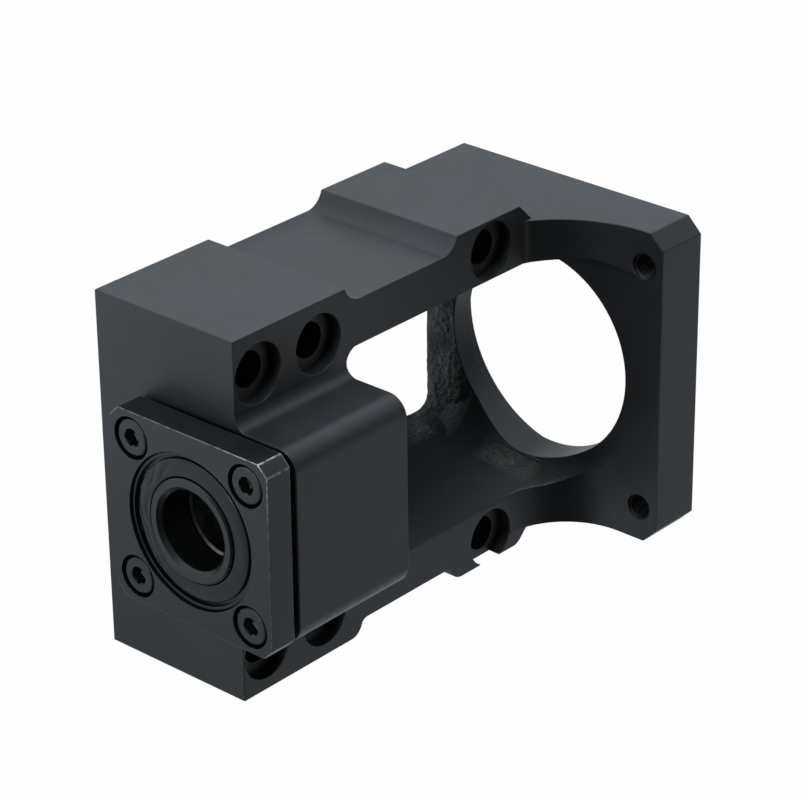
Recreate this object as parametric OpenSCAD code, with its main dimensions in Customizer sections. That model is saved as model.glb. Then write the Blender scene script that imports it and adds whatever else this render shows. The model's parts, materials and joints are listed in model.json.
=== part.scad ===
// Motor bracket with a built-in fixed-side ball screw support.
// The origin lies on the base plane, midway between the four block fixing holes.
// +X runs along the screw from the cover to the motor flange, +Z points up from the base.

/* [Bracket] */
// Width over the support block and the rear pads
body_w = 70; // [68:0.5:90]
// Width over the side rails
rail_w = 64; // [62:0.5:67]
// Width over the motor flange and the rails next to it
flange_w = 63.4; // [61:0.1:67]
// Length from the block's front face to the motor face
body_l = 98; // [92:0.5:130]
// Height of the block's ears, the rails and the pads
ear_h = 33; // [30:0.5:36]
// Height of the screw axis above the base
axis_h = 28; // [27:0.5:34]
// Radius at the foot of the left side's steps between block, rail and pad
left_foot_r = 4; // [2:0.25:6]
// Radius at the foot of the right side's steps
right_foot_r = 1.5; // [0.5:0.25:3]
// Radius to which the edges of the right side's steps are rounded off
right_edge_r = 3; // [1:0.25:4]

/* [Support block] */
// Length of the block along the screw
block_l = 28; // [26:0.5:32]
// Thickness of the boss's walls beside the bearings
boss_side_wall = 2.5; // [2:0.25:5]
// Thickness of the boss over the bearings
boss_top_wall = 3; // [2.5:0.25:8]
// Radius of the boss's upper edges
boss_r = 4; // [1:0.5:5]
// Radius where the boss meets the ears
boss_foot_r = 2.5; // [1:0.5:4]

/* [Coupling space] */
// Width between the rails at the base
space_w_base = 41; // [38:0.5:43]
// Width between the rails at their top
space_w_top = 46.5; // [44:0.5:47]
// Radius of the coupling space's upright corners
space_r = 3; // [1:0.5:5]
// Radius to which the right corner at the flange swells above the base
swell_r = 8; // [5.5:0.5:9]
// Height above the base at which that corner has its full radius
swell_h = 11; // [6:0.5:16]

/* [Rear pads] */
// Distance from the block's front face to the left pad
pad_x = 57.5; // [52:0.5:60]
// Distance from the block's front face to the flat of the right pad
pad_right_x = 58.7; // [54:0.1:61]
// Length of the left pad along the screw
pad_l = 17.5; // [14:0.5:20]
// Radius on the right pad's rear corner
pad_right_r = 3; // [0.5:0.25:3]
// Radius of the hollow behind the left pad's slope
left_hollow_r = 1.5; // [0.5:0.25:4]
// Radius of the hollow behind the right pad's slope
right_hollow_r = 4; // [0.5:0.25:5]

/* [Motor flange] */
// Thickness of the flange
flange_t = 11.4; // [9:0.1:14]
// Height of the flange above the screw axis
flange_rise = 29; // [28:0.5:38]
// Chamfer on the flange's upper corners
flange_chamfer = 3; // [1:0.25:6]
// Radius of the gusset between the right rail and the flange
gusset_r = 15; // [10:0.5:16]
// Radius of the flatter gusset on the left rail
gusset_left_r = 24; // [18:0.5:30]
// Diameter of the opening through the flange
motor_bore_d = 41.8; // [36:0.1:44]
// Diameter of the pilot recess that centres the motor
pilot_d = 50; // [46:0.5:52]
// Depth of the pilot recess
pilot_depth = 6.5; // [3:0.25:7]
// Chamfer on the rim of the pilot recess
pilot_chamfer = 1.5; // [0.25:0.25:1.5]
// Side of the square on which the motor screws lie
motor_pitch = 49.5; // [48:0.25:50.5]
// Tapping drill of the motor screws
motor_tap_d = 4.2; // [3.3:0.05:4.2]
// Depth of the two lower, blind motor screw holes
motor_tap_depth = 14; // [12:0.5:20]

/* [Fixing holes] */
// Diameter of the fixing holes
fix_d = 6.6; // [5.5:0.1:7]
// Diameter of the spotfaces
spot_d = 11.2; // [10:0.1:11.6]
// Depth of the spotfaces below the ears
spot_depth = 2.5; // [1:0.25:8]
// Distance from the block's front face to the first holes
fix_x = 6; // [6:0.25:8]
// Spacing of the block's holes along the screw
fix_pitch_x = 15; // [13:0.25:16]
// Spacing of the block's holes across the screw
fix_pitch_y = 54; // [53:0.25:57]
// Distance from the block's front face to the rear holes
rear_fix_x = 66.9; // [64:0.1:69]
// Spacing of the rear holes across the screw
rear_fix_pitch = 59; // [58:0.25:60]
// Sideways offset of the rear pair of holes
rear_fix_offset = -0.5; // [-0.5:0.1:0.5]

/* [Bearings] */
// Shaft diameter
shaft_d = 15; // [12:0.5:15.5]
// Outer diameter of the bearings
bearing_od = 32; // [31:0.5:33]
// Width of one bearing
bearing_b = 9; // [8:0.25:9.5]
// Distance from the block's front face to the first bearing
bearing_x = 1; // [0.5:0.25:1.5]
// Ball diameter
ball_d = 4.76; // [4:0.01:5]
// Balls in each bearing
ball_n = 12; // [9:1:12]
// Thickness of the bearing cages
cage_t = 1.5; // [1:0.1:1.8]
// Thickness of the shoulder behind the bearings
shoulder_t = 3; // [1.5:0.25:3.5]
// Step of the shoulder inside the bearing seat's wall
shoulder_in = 2.5; // [2:0.25:4]

/* [Cover] */
// Overhang of the cover's edges beyond the boss
cover_over = 0.15; // [0:0.05:1.5]
// Thickness of the cover
cover_t = 5.7; // [5.5:0.1:7]
// Gap left between the clamped cover and the block
cover_gap = 1; // [0.25:0.25:1.5]
// Chamfer on the cover's corners
cover_chamfer = 2; // [1:0.25:3]
// Thickness of the cover's lip behind its seal
cover_lip_t = 0.5; // [0.5:0.1:1]
// Wall between the bearing seat and the cover's screw holes
screw_wall = 1.16; // [1.1:0.02:1.8]

/* [Cover screws] */
// Nominal diameter of the cover screws
screw_d = 4; // [3:0.5:4]
// Head diameter
head_d = 7; // [5.5:0.1:7]
// Head height
head_h = 4; // [3:0.1:4]
// Width across the flats of the head's hexagonal socket
socket_af = 3; // [2.5:0.5:3]
// Depth of the socket
socket_depth = 2; // [1.5:0.1:2.5]
// Length under the head
screw_l = 12; // [8:0.5:14]
// Diameter of the counterbores in the cover
cbore_d = 8; // [7.4:0.1:8.2]
// Depth of the counterbores
cbore_depth = 4.2; // [4:0.1:4.4]

/* [Seals and collars] */
// Distance of the seals' rims inside the bearing seat's wall
seal_in = 1.35; // [1.25:0.05:2]
// Width of the shaft seals
seal_w = 3.9; // [3.5:0.1:4.3]
// Thickness of the collars' walls
collar_wall = 2.3; // [1.75:0.05:2.4]
// Length by which the rear collar stands out of the block
collar_out = 1; // [0.5:0.25:3]

/* [Clearances] */
// Radial play of pressed and pushed seats
seat_play = 0.02; // [0.01:0.01:0.04]
// Radial play between balls and races
ball_play = 0.07; // [0.03:0.01:0.1]
// Radial play between seal lips and collars
lip_play = 0.07; // [0.03:0.01:0.1]
// Radial play around the screw shanks in their tapped holes
thread_play = 0.05; // [0.03:0.01:0.1]

/* [Hidden] */
$fn = 96;

datum_x = fix_x + fix_pitch_x / 2;
flange_x = body_l - flange_t;
flange_h = axis_h + flange_rise;
boss_w = bearing_od + 2 * boss_side_wall;
boss_h = axis_h + bearing_od / 2 + boss_top_wall;
cover_w = boss_w + 2 * cover_over;
shoulder_d = bearing_od - 2 * shoulder_in;
seal_od = bearing_od - 2 * seal_in;
collar_od = shaft_d + 2 * collar_wall;
screw_pitch = (bearing_od + screw_d + 2 * screw_wall) / sqrt(2);
seat_l = bearing_x + 2 * bearing_b;
pocket_x = seat_l + shoulder_t;
space_draft = atan((space_w_top - space_w_base) / 2 / ear_h);
step_h = (body_w - rail_w) / 2;
pad_end = pad_x + pad_l;
cover_x = -cover_gap - cover_t;
seal_x = -cover_gap - cover_lip_t;
seal_pocket_d = seal_od + 2 * lip_play;
seal_lip_r = collar_od / 2 + lip_play;
pitch_r = (shaft_d + bearing_od) / 4;
race_r = ball_d / 2 + ball_play;
ring_gap = ball_d * 0.65;
ring_chamfer = 0.4;
screw_hole_depth = cover_x + cbore_depth + screw_l + 2;
black = [0.17, 0.18, 0.19];
steel = [0.62, 0.63, 0.65];

// Moves a piece from the block's front face to the origin on the base
module at_datum() {
    translate([-datum_x, 0, 0]) children();
}

// Turns a shape's Z axis onto the screw axis, starting x behind the block's front face
module on_axis(x = 0) {
    translate([x, 0, axis_h]) rotate([0, 90, 0]) children();
}

// Extrudes an outline drawn in Y and Z along the screw
module along_screw(x, l) {
    translate([x, 0, 0]) rotate([90, 0, 90]) linear_extrude(l) children();
}

// Repeats a shape on a square around the screw axis
module on_square(x, side) {
    for (y = [-1, 1], z = [-1, 1])
        translate([x, y * side / 2, axis_h + z * side / 2]) rotate([0, 90, 0]) children();
}

// Material that fills an inner corner at the origin with radius r and laps into the walls
module corner_fill(r) {
    difference() {
        translate([-1, -1]) square(r + 1);
        translate([r, r]) circle(r);
    }
}

// Drilled hole of depth l from the origin into +Z with a drill point
module blind_hole(d, l) {
    translate([0, 0, -1]) cylinder(d = d, h = l + 1);
    translate([0, 0, l]) cylinder(d1 = d, d2 = 0, h = d / 2 / tan(59));
}

// Length along which a curved step rises to height h, with foot radius a and edge radius b
function step_run(h, a, b) = let (s = max(a, h - b) + b) sqrt(s * s - (s - h) * (s - h));

// Curved step that rises from the origin to height h: hollow with radius a at its foot and
// rounded off with radius b at its edge
module curved_step(h, a, b) {
    foot = max(a, h - b);
    run = step_run(h, a, b);
    share = b / (foot + b);
    bend = h - b + share * (foot + b - h);
    difference() {
        translate([0, -1]) square([run + 1, bend + 1]);
        translate([0, foot]) circle(foot);
    }
    if (b > 0) translate([run, h - b]) circle(b);
}

// Outline of block, rails, pads and flange seen from above
module plan() {
    translate([0, -body_w / 2]) square([block_l, body_w]);
    translate([0, -rail_w / 2]) square([pad_end, rail_w]);
    translate([0, -flange_w / 2]) square([body_l, flange_w]);
    one_side(pad_x, left_foot_r, 0, 0, left_hollow_r);
    mirror([0, 1])
        one_side(pad_right_x, right_foot_r, right_edge_r, pad_right_r, right_hollow_r);
}

// Steps and rear pad of one side. The steps have foot radius a and edge radius b; the pad starts
// at x and has rear corner radius c and hollow radius d.
module one_side(x, a, b, c, d) {
    run = step_run(step_h, a, b);
    translate([block_l + run, rail_w / 2]) mirror([1, 0]) curved_step(step_h, a, b);
    translate([x - run, rail_w / 2]) curved_step(step_h, a, b);
    pad(b > 0 ? x : x + 0.5, c, d);
}

// Rear pad that stands out to y = w, with a rear corner of radius c, a slope of 45 degrees down
// to the flange's width and a hollow of radius d behind it
module pad(x, c, d) {
    w = body_w / 2;
    f = flange_w / 2;
    back = pad_end - c * tan(22.5);
    lean = c * sin(45);
    foot = pad_end + w - f;
    reach = d * tan(22.5);
    rise = reach * sin(45);
    translate([x, 0]) square([back - x, w]);
    if (c > 0) translate([back, w - c]) circle(c);
    polygon(concat([[back - 1, 0], [back - 1, w - c]], c > 0 ? [[back, w - c]] : [],
        [[back + lean, w - c + lean], [foot, f], [foot, 0]]));
    difference() {
        polygon([[foot - rise, f - 1], [foot + reach, f - 1], [foot + reach, f],
            [foot - rise, f + rise]]);
        translate([foot + reach, f + d]) circle(d);
    }
}

// Section of the boss above the ears
module boss_section() {
    z = ear_h - 1;
    translate([-boss_w / 2, z]) square([boss_w, boss_h - boss_r - z]);
    translate([-boss_w / 2 + boss_r, z]) square([boss_w - 2 * boss_r, boss_h - z]);
    for (s = [0, 1]) mirror([s, 0]) {
        translate([boss_w / 2 - boss_r, boss_h - boss_r]) circle(boss_r);
        translate([boss_w / 2, ear_h]) corner_fill(boss_foot_r);
    }
}

// Outline of the motor flange seen along the screw
module flange_section() {
    w = flange_w / 2;
    c = flange_chamfer;
    polygon([[-w, 0], [w, 0], [w, flange_h - c], [w - c, flange_h],
        [-w + c, flange_h], [-w, flange_h - c]]);
}

// Hollow-curved gusset on the left (1) or right (-1) rail. It leaves the ears' height at x and
// runs out along the flange's inner face.
module gusset(side, r, x) {
    z = ear_h + sqrt(r * r - pow(r - flange_x + x, 2));
    translate([0, side > 0 ? flange_w / 2 : 0, 0]) rotate([90, 0, 0])
        linear_extrude(flange_w / 2) difference() {
            translate([x, ear_h - 1]) square([flange_x - x, z - ear_h + 1]);
            translate([flange_x - r, z]) circle(r);
        }
}

// Space for the coupling: drafted walls and rounded upright corners
module coupling_space() {
    z0 = -1;
    z1 = flange_h + 1;
    slope = (space_w_top - space_w_base) / 2 / ear_h;
    a = space_w_base / 2 + slope * z0;
    b = space_w_base / 2 + slope * z1;
    difference() {
        along_screw(block_l, flange_x - block_l) polygon([[-a, z0], [a, z0], [b, z1], [-b, z1]]);
        for (s = [0, 1]) mirror([0, s, 0]) {
            space_corner(block_l, 0);
            space_corner(flange_x, 1);
        }
        mirror([0, 1, 0]) swollen_corner();
    }
}

// Cast corner at the flange that swells from nothing at the base to its full radius
module swollen_corner() {
    r = swell_r;
    rim = 1.45 * r;
    translate([flange_x, space_w_base / 2, 0]) rotate([-space_draft, 0, 0])
        mirror([1, 0, 0]) mirror([0, 1, 0]) difference() {
            translate([-1, -1, 0]) cube([r + 1, r + 1, flange_h + 3]);
            translate([r, r, -1]) cylinder(r = rim, h = 1);
            translate([r, r, 0]) cylinder(r1 = rim, r2 = r, h = swell_h);
            translate([r, r, swell_h]) cylinder(r = r, h = flange_h + 4);
        }
}

// Round corner column of the coupling space, leaning with the wall's draft
module space_corner(x, flip) {
    translate([x, space_w_base / 2, 0]) rotate([-space_draft, 0, 0]) translate([0, 0, -3])
        linear_extrude(flange_h + 6) mirror([0, 1]) mirror([flip, 0]) corner_fill(space_r);
}

// Seats of bearings and rear seal, bored from both ends of the block
module bearing_seat() {
    on_axis(-1) cylinder(d = bearing_od, h = seat_l + 1);
    on_axis(-1) cylinder(d1 = bearing_od + 3, d2 = bearing_od, h = 1.5);
    on_axis(0) cylinder(d = shoulder_d, h = block_l);
    on_axis(pocket_x) cylinder(d = seal_pocket_d, h = block_l - pocket_x + 1);
}

// Opening and pilot recess for the motor
module motor_seat() {
    on_axis(flange_x - swell_r - 1) cylinder(d = motor_bore_d, h = flange_t + swell_r + 2);
    on_axis(body_l - pilot_depth) cylinder(d = pilot_d, h = pilot_depth + 1);
    on_axis(body_l - pilot_chamfer)
        cylinder(d1 = pilot_d, d2 = pilot_d + 4 * pilot_chamfer, h = 2 * pilot_chamfer);
    for (y = [-1, 1]) {
        translate([body_l, y * motor_pitch / 2, axis_h + motor_pitch / 2]) rotate([0, -90, 0])
            translate([0, 0, -1]) cylinder(d = motor_tap_d, h = flange_t + 2);
        translate([body_l, y * motor_pitch / 2, axis_h - motor_pitch / 2]) rotate([0, -90, 0])
            blind_hole(motor_tap_d, motor_tap_depth);
    }
}

// Fixing hole with a spotface on the ear or pad
module fixing_hole(x, y) {
    translate([x, y, -1]) cylinder(d = fix_d, h = ear_h + 2);
    translate([x, y, ear_h - spot_depth]) cylinder(d = spot_d, h = spot_depth + 1);
}

module fixing_holes() {
    for (x = [fix_x, fix_x + fix_pitch_x], s = [-1, 1]) fixing_hole(x, s * fix_pitch_y / 2);
    for (s = [-1, 1]) fixing_hole(rear_fix_x, rear_fix_offset + s * rear_fix_pitch / 2);
}

module housing() {
    color(black) at_datum() difference() {
        union() {
            linear_extrude(ear_h) plan();
            along_screw(0, block_l) boss_section();
            along_screw(flange_x, flange_t) flange_section();
            gusset(-1, gusset_r, flange_x - gusset_r);
            gusset(1, gusset_left_r, pad_end + 1);
        }
        coupling_space();
        bearing_seat();
        motor_seat();
        fixing_holes();
        on_square(0, screw_pitch) blind_hole(screw_d + 2 * thread_play, screw_hole_depth);
    }
}

// Square outline with chamfered corners
module cover_section() {
    w = cover_w / 2;
    c = cover_chamfer;
    polygon([[-w, -w + c], [-w + c, -w], [w - c, -w], [w, -w + c],
        [w, w - c], [w - c, w], [-w + c, w], [-w, w - c]]);
}

module cover() {
    lip_d = collar_od + 5;
    color(black) at_datum() difference() {
        union() {
            on_axis(cover_x) linear_extrude(cover_t) cover_section();
            on_axis(-cover_gap) cylinder(d = bearing_od - 4 * seat_play, h = cover_gap + bearing_x);
        }
        on_axis(cover_x - 1) cylinder(d = seal_pocket_d, h = seal_x - cover_x + 1);
        on_axis(cover_x) cylinder(d = lip_d, h = cover_t + cover_gap + bearing_x + 1);
        on_square(cover_x - 1, screw_pitch) cylinder(d = cbore_d, h = cbore_depth + 1);
        on_square(cover_x, screw_pitch) cylinder(d = screw_d + 0.5, h = cover_t + 1);
    }
}

// Socket-head cap screw, head outwards, seated in the counterbore at (y, z)
module cover_screw(y, z) {
    color(black) at_datum()
        translate([cover_x + cbore_depth, y * screw_pitch / 2, axis_h + z * screw_pitch / 2])
        rotate([0, 90, 0]) difference() {
            union() {
                translate([0, 0, -head_h + 0.3]) cylinder(d = head_d, h = head_h - 0.3);
                translate([0, 0, -head_h]) cylinder(d1 = head_d - 0.6, d2 = head_d, h = 0.3);
                cylinder(d = screw_d, h = screw_l - 0.5);
                translate([0, 0, screw_l - 0.5])
                    cylinder(d1 = screw_d, d2 = screw_d - 1, h = 0.5);
            }
            translate([0, 0, -head_h - 1]) linear_extrude(socket_depth + 1)
                circle(d = socket_af / cos(30), $fn = 6);
            translate([0, 0, socket_depth - head_h])
                cylinder(d1 = socket_af, d2 = 0, h = socket_af / 2 / tan(60));
        }
}

// Shaft seal seen in half section: a flat rim, a fine ring groove and a domed lip that is highest
// beside the collar. The front lies at y = -seal_w and the back at y = 0.
module seal_section() {
    rim = seal_od / 2;
    lip = seal_lip_r;
    dome = rim - 1.95;
    difference() {
        union() {
            translate([lip, -seal_w]) square([rim - lip, seal_w]);
            intersection() {
                translate([lip + 0.6, -seal_w + 2.5]) circle(3.4);
                translate([lip, -seal_w - 1.5]) square([dome - lip, 2]);
            }
        }
        translate([dome, -seal_w - 0.1]) square([0.35, 0.5]);
        polygon([[lip - 1, -seal_w + 1.6], [lip, -seal_w + 1.6], [dome - 1.8, -1],
            [dome - 1.8, 1], [lip - 1, 1]]);
    }
}

module front_seal() {
    color([0.1, 0.1, 0.11]) at_datum() on_axis(seal_x) rotate_extrude() seal_section();
}

module rear_seal() {
    color([0.1, 0.1, 0.11]) at_datum() on_axis(pocket_x) mirror([0, 0, 1])
        rotate_extrude() seal_section();
}

// Collar from x with length l, its bore and rim edges broken
module collar(x, l) {
    at_datum() on_axis(x) rotate_extrude() polygon([
        [shaft_d / 2 + 0.8, 0], [collar_od / 2 - 0.35, 0], [collar_od / 2, 0.35],
        [collar_od / 2, l - 0.35], [collar_od / 2 - 0.35, l], [shaft_d / 2 + 0.8, l],
        [shaft_d / 2, l - 0.8], [shaft_d / 2, 0.8]]);
}

module front_collar() {
    color(black) collar(cover_x, bearing_x - cover_x);
}

module rear_collar() {
    color(black) collar(seat_l, block_l + collar_out - seat_l);
}

// Bearing ring in half section with its ball groove; low and high are the radii of its two
// shoulders and back is the radius of its seat
module ring_section(back, low, high) {
    c = back < pitch_r ? ring_chamfer : -ring_chamfer;
    b = bearing_b;
    difference() {
        polygon([[back, ring_chamfer], [back + c, 0], [low, 0], [low, b / 2],
            [high, b / 2], [high, b], [back + c, b], [back, b - ring_chamfer]]);
        translate([pitch_r, b / 2]) circle(race_r);
    }
}

// Places the parts of bearing i; the second one is turned round, face to face with the first
module bearing_place(i) {
    at_datum() on_axis(bearing_x + (i - 1) * bearing_b)
        translate([0, 0, i == 2 ? bearing_b : 0]) mirror([0, 0, i == 2 ? 1 : 0]) children();
}

module outer_ring(i) {
    r = pitch_r + ring_gap / 2;
    color(steel) bearing_place(i) rotate_extrude()
        ring_section(bearing_od / 2 - seat_play, r + 0.6, r);
}

module inner_ring(i) {
    r = pitch_r - ring_gap / 2;
    color(steel) bearing_place(i) rotate_extrude() ring_section(shaft_d / 2, r, r);
}

module balls(i) {
    color(steel) bearing_place(i) for (k = [0:ball_n - 1])
        rotate(k * 360 / ball_n) translate([pitch_r, 0, bearing_b / 2]) sphere(d = ball_d, $fn = 48);
}

module cage(i) {
    w = bearing_b - 1.6;
    color([0.72, 0.58, 0.3]) bearing_place(i) difference() {
        translate([0, 0, (bearing_b - w) / 2]) difference() {
            cylinder(r = pitch_r + cage_t / 2, h = w);
            translate([0, 0, -1]) cylinder(r = pitch_r - cage_t / 2, h = w + 2);
        }
        for (k = [0:ball_n - 1]) rotate(k * 360 / ball_n)
            translate([pitch_r - cage_t, 0, bearing_b / 2]) rotate([0, 90, 0])
            cylinder(d = ball_d + 2 * ball_play + 0.1, h = 2 * cage_t);
    }
}

housing();
cover();
cover_screw(-1, -1);  // cover_screw_1
cover_screw(1, -1);  // cover_screw_2
cover_screw(1, 1);  // cover_screw_3
cover_screw(-1, 1);  // cover_screw_4
front_seal();
rear_seal();
front_collar();
rear_collar();
outer_ring(1);  // outer_ring_1
inner_ring(1);  // inner_ring_1
balls(1);  // balls_1
cage(1);  // cage_1
outer_ring(2);  // outer_ring_2
inner_ring(2);  // inner_ring_2
balls(2);  // balls_2
cage(2);  // cage_2
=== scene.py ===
"""Looks of a ball screw end support: a black motor bracket with a bearing cover, screws,
seals, collars and a pair of ball bearings. It is laid out as an add-on and run as a script."""
import json
import math

import bmesh
import bpy
from bpy.props import FloatProperty, FloatVectorProperty, PointerProperty
from mathutils import Matrix, Vector, noise


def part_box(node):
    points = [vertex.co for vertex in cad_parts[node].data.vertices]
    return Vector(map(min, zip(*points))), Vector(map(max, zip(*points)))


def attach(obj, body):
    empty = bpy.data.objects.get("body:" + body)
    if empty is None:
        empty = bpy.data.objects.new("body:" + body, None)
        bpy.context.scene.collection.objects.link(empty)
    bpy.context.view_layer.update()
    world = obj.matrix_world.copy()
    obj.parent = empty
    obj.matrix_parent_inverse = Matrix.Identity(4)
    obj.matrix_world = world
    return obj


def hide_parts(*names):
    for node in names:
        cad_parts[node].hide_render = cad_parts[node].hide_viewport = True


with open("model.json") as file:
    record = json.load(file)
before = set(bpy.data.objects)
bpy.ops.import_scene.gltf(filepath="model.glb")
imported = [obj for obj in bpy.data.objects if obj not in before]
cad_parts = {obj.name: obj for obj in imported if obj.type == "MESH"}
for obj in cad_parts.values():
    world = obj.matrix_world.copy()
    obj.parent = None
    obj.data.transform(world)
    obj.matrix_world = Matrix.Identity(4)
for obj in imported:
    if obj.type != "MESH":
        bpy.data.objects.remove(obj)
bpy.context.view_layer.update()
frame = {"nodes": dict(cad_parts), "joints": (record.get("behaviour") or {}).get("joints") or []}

bl_info = {
    "name": "Ball Screw End Support",
    "version": (1, 0, 0),
    "blender": (4, 5, 0),
    "location": "3D View > Sidebar > End Support",
    "description": "Finishes a motor bracket with a built-in ball screw support",
    "category": "Object",
}

MM = 0.001
BRACKET = "bracket"
AXIS_HEIGHT = frame["joints"][0]["pos_m"][2]
HOUSING_LOW, HOUSING_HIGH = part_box("housing")
COVER_LOW, COVER_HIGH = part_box("cover")


# ---------------------------------------------------------------- node trees

class Wire:
    """A value in a node tree. Arithmetic on it adds Math nodes to that tree."""

    def __init__(self, tree, socket):
        self.tree, self.socket = tree, socket

    def math(self, operation, *values):
        return self.tree.node("ShaderNodeMath", {"operation": operation}, values)

    def __add__(self, other):
        return self.math("ADD", self, other)

    def __sub__(self, other):
        return self.math("SUBTRACT", self, other)

    def __rsub__(self, other):
        return self.math("SUBTRACT", other, self)

    def __mul__(self, other):
        return self.math("MULTIPLY", self, other)

    def __pow__(self, other):
        return self.math("POWER", self, other)

    __radd__, __rmul__ = __add__, __mul__

    def larger(self, other):
        return self.math("MAXIMUM", self, other)

    def smaller(self, other):
        return self.math("MINIMUM", self, other)

    def ramp(self, low, high, first=0.0, last=1.0):
        """Smooth passage from first to last while this value goes from low to high."""
        return self.tree.node("ShaderNodeMapRange", {"interpolation_type": "SMOOTHSTEP"},
                              {0: self, 1: low, 2: high, 3: first, 4: last})


class Tree:
    """Adds nodes to a node tree, one method for every kind."""

    def __init__(self, tree):
        self.tree = tree

    def node(self, kind, settings=None, values=(), output=0):
        made = self.tree.nodes.new(kind)
        for name, value in (settings or {}).items():
            setattr(made, name, value)
        for key, value in (values.items() if isinstance(values, dict) else enumerate(values)):
            if value is None:
                continue
            socket = made.inputs[key]
            if isinstance(value, Wire):
                self.tree.links.new(value.socket, socket)
            else:
                socket.default_value = value
        return Wire(self, made.outputs[output]) if len(made.outputs) else made

    def outputs(self, wire, name):
        """Another output of the node that a wire comes from."""
        return Wire(self, wire.socket.node.outputs[name])

    def mix(self, factor, first, second, how="MIX"):
        """Mixes two colours."""
        made = self.tree.nodes.new("ShaderNodeMix")
        made.data_type, made.blend_type = "RGBA", how
        for key, value in ((0, factor), (6, first), (7, second)):
            if isinstance(value, Wire):
                self.tree.links.new(value.socket, made.inputs[key])
            else:
                made.inputs[key].default_value = value
        return Wire(self, made.outputs[2])

    def shaded(self, colour, amount):
        """A colour times a number."""
        grey = self.node("ShaderNodeCombineColor", None, [amount, amount, amount])
        return self.mix(1.0, colour, grey, "MULTIPLY")

    def place(self):
        """Object coordinates in millimetres from the screw axis."""
        return self.node("ShaderNodeMapping", {"vector_type": "POINT"}, {
            "Vector": self.node("ShaderNodeTexCoord", output="Object"),
            "Location": (0.0, 0.0, -AXIS_HEIGHT / MM), "Scale": (1 / MM, 1 / MM, 1 / MM)})

    def noise(self, vector, scale, detail=2.0, roughness=0.5, distortion=0.0):
        """Noise between 0 and 1; the scale counts its features to a millimetre."""
        return self.node("ShaderNodeTexNoise", {"noise_dimensions": "3D"}, {
            "Vector": vector, "Scale": scale, "Detail": detail,
            "Roughness": roughness, "Distortion": distortion})

    def attribute(self, name):
        """A number kept on the mesh, nothing where the mesh has none."""
        return self.node("ShaderNodeAttribute", {"attribute_name": name}, output=2)

    def parts(self, vector):
        """The three numbers of a vector."""
        split = self.node("ShaderNodeSeparateXYZ", values=[vector])
        return [self.outputs(split, axis) for axis in "XYZ"]

    def rings(self, place, across, along=0.0):
        """Vector that runs away from the screw axis and along it, for marks left by
        turning; across and along count their steps to a millimetre."""
        x, y, z = self.parts(place)
        radius = (y * y + z * z) ** 0.5
        return self.node("ShaderNodeCombineXYZ", None, [radius * across, x * along, 0.0])


def rgba(colour, gain=1.0):
    return (*(c * gain for c in colour), 1.0)


def new_material(name):
    """An empty material and the helper for its tree."""
    material = bpy.data.materials.new(name)
    material.use_nodes = True
    material.node_tree.nodes.clear()
    return material, Tree(material.node_tree)


def surface(tree, colour, roughness, metallic=0.0, normal=None, **constants):
    """Ends a tree in a Principled shader; constants go on the shader's own sockets."""
    values = {"Base Color": colour, "Roughness": roughness, "Metallic": metallic}
    if normal is not None:
        values["Normal"] = normal
    values.update({name.replace("_", " "): value for name, value in constants.items()})
    shader = tree.node("ShaderNodeBsdfPrincipled", None, values)
    tree.node("ShaderNodeOutputMaterial", None, [shader])


def bump(tree, height, distance, strength=1.0, normal=None):
    """Bump of a height between 0 and 1; distance in millimetres."""
    return tree.node("ShaderNodeBump", None, {
        "Strength": strength, "Distance": distance * MM, "Height": height, "Normal": normal})


# ---------------------------------------------------------------- materials

def casting_material(s):
    """Black-finished iron: milled faces with a fine grain, duller faces between the rails,
    darkened there by painted shade, with rough skin where the mesh says so, and a thin greyer
    line along the broken edges."""
    material, t = new_material("casting black")
    place = t.place()
    cloud = t.noise(place, 0.045, 3.0, 0.55)
    patch = t.noise(place, 0.35, 3.0, 0.6)
    grain = t.noise(place, 5.0, 3.0, 0.7)
    lumps = t.noise(place, 0.9, 4.0, 0.62, 0.4)
    pits = t.node("ShaderNodeTexVoronoi", {"feature": "SMOOTH_F1"}, {
        "Vector": place, "Scale": 1.0, "Smoothness": 0.35})
    cast, inner, edge = t.attribute("cast"), t.attribute("inner"), t.attribute("edge")
    shade = cloud.ramp(0.3, 0.7, 0.75, 1.25) * patch.ramp(0.25, 0.75, 0.92, 1.08)
    # Painted shade: faces between the rails keep only 40 % of their colour where the inside mask
    # is 1.
    shade = shade * grain.ramp(0.3, 0.7, 0.94, 1.06) * (1.0 - inner * 0.6)
    skin = lumps.ramp(0.35, 0.68, 0.7, 1.45)
    colour = t.mix(cloud.ramp(0.35, 0.65), rgba(s.casting_colour), rgba(s.casting_tint))
    colour = t.mix(cast, t.shaded(colour, shade), t.shaded(rgba(s.cast_skin_colour), skin))
    worn = edge * t.noise(place, 0.6, 3.0, 0.7).ramp(0.42, 0.62) * s.casting_wear
    colour = t.mix(worn, colour, rgba(s.worn_colour))
    normal = bump(t, grain, 0.012, 0.35)
    normal = bump(t, t.noise(place, 0.12, 1.0), 0.05, 0.25, normal)
    normal = bump(t, (lumps + pits * 0.6) * cast, 0.5, 1.0, normal)
    # The same inside mask also makes those faces duller.
    rough = 0.42 + patch * 0.12 + inner * (0.24 - cast * 0.26)
    surface(t, colour, rough, normal=normal, Specular_IOR_Level=0.85)
    return material


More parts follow.
